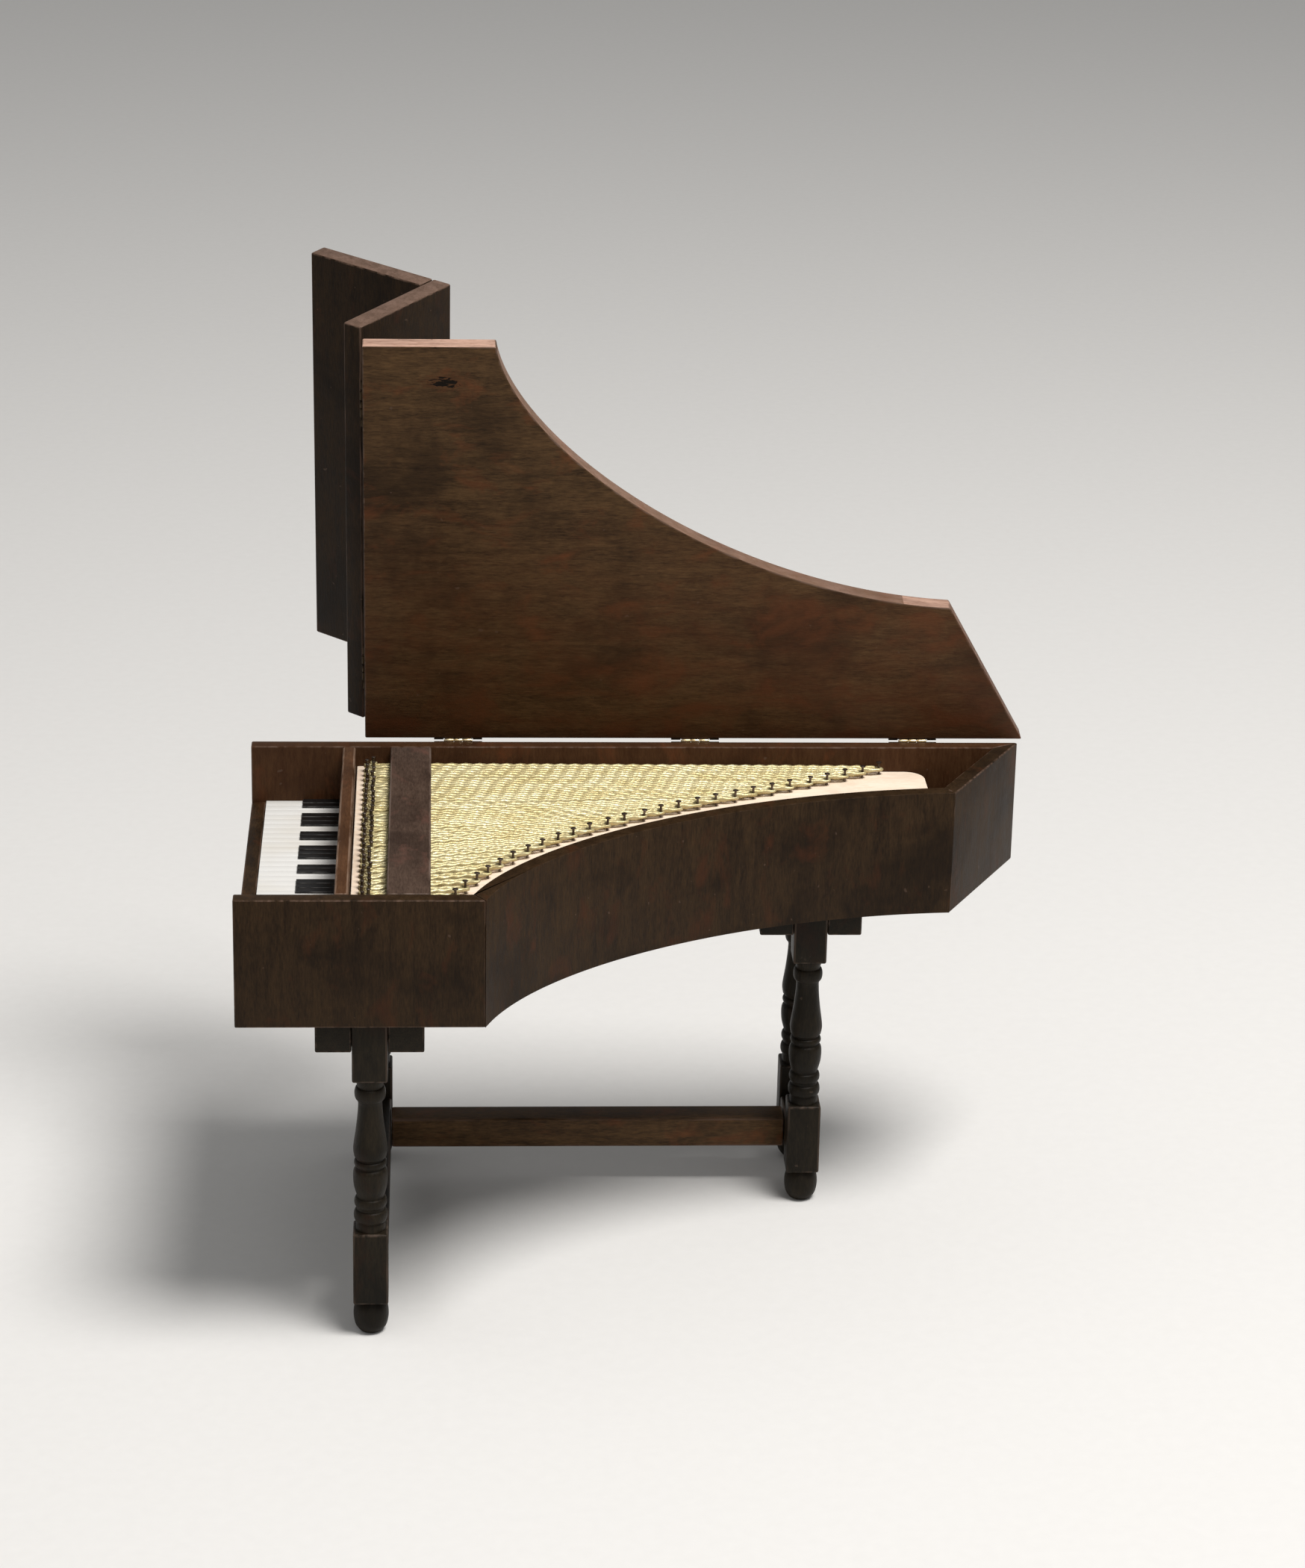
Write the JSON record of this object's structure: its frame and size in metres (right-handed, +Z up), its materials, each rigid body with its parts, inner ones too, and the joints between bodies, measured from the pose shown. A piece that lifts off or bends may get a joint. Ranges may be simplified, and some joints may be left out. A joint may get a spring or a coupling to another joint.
{
  "type": "miniature harpsichord",
  "caption": "Wing-shaped miniature keyboard instrument with a curved side, strings, a hinged lid with folding flap and drop front, on a turned trestle stand.",
  "frame": {"origin": "centre of the bottom face of the outline box, at floor level under the stand", "axes": "+X from the keyboard end to the tail, +Y from the cheek to the spine where the lid is hinged, +Z up"},
  "size_m": [0.1382, 0.1166, 0.1626],
  "materials": {
    "stained_wood": "satin",
    "dark_wood": "satin",
    "pale_wood": "matte",
    "gold_thread": "satin",
    "white_keys": "satin",
    "black_keys": "satin",
    "brass": "satin",
    "steel_pins": "satin"
  },
  "bodies": {
    "case_and_stand": {"belly_rail": "dark_wood", "bentside": "stained_wood", "bentside_liner": "pale_wood", "bottom_board": "dark_wood", "cheek": "stained_wood", "front_cross_stretcher": "dark_wood", "front_leg_cheek_side": "dark_wood", "front_leg_spine_side": "dark_wood", "front_top_rail": "dark_wood", "hitch_pin_row": "steel_pins", "jack_rail": "dark_wood", "key_bed": "dark_wood", "key_slip": "stained_wood", "lid_hinge_1_fixed_leaf": "brass", "lid_hinge_2_fixed_leaf": "brass", "lid_hinge_3_fixed_leaf": "brass", "long_stretcher": "stained_wood", "nameboard": "stained_wood", "naturals": "white_keys", "rear_cross_stretcher": "dark_wood", "rear_leg_cheek_side": "dark_wood", "rear_leg_spine_side": "dark_wood", "rear_top_rail": "dark_wood", "sharps_1": "black_keys", "sharps_2": "black_keys", "sharps_3": "black_keys", "sharps_4": "black_keys", "sharps_5": "black_keys", "sharps_6": "black_keys", "sharps_7": "black_keys", "sharps_8": "black_keys", "sharps_9": "black_keys", "soundboard": "pale_wood", "spine": "stained_wood", "spine_liner": "pale_wood", "string_band": "gold_thread", "tail_board": "stained_wood", "tuning_pin_row": "steel_pins", "wrest_plank": "pale_wood"},
    "lid": {"lid": "stained_wood", "flap_hinge_1_fixed_leaf": "brass", "flap_hinge_2_fixed_leaf": "brass", "lid_hinge_1_turning_leaf": "brass", "lid_hinge_2_turning_leaf": "brass", "lid_hinge_3_turning_leaf": "brass"},
    "lid_flap": {"lid_flap": "stained_wood", "drop_hinge_1_fixed_leaf": "brass", "drop_hinge_2_fixed_leaf": "brass", "flap_hinge_1_turning_leaf": "brass", "flap_hinge_2_turning_leaf": "brass"},
    "drop_front": {"drop_front": "stained_wood", "drop_hinge_1_turning_leaf": "brass", "drop_hinge_2_turning_leaf": "brass"}
  },
  "joints": [
    {"name": "lid_hinge", "type": "hinge", "parent": "case_and_stand", "child": "lid", "pos_m": [0, 0.01707, 0.08007], "axis": [-1, 0, 0], "range_deg": [-82, 18]},
    {"name": "flap_hinge", "type": "hinge", "parent": "lid", "child": "lid_flap", "pos_m": [-0.04911, 0.01591, 0.11817], "axis": [0, 0.1392, -0.9903], "range_deg": [-127.5, 47.5]},
    {"name": "drop_front_hinge", "type": "hinge", "parent": "lid_flap", "child": "drop_front", "pos_m": [-0.03659, 0.03895, 0.1214], "axis": [0, 0.1392, -0.9903], "range_deg": [0, 90]}
  ]
}
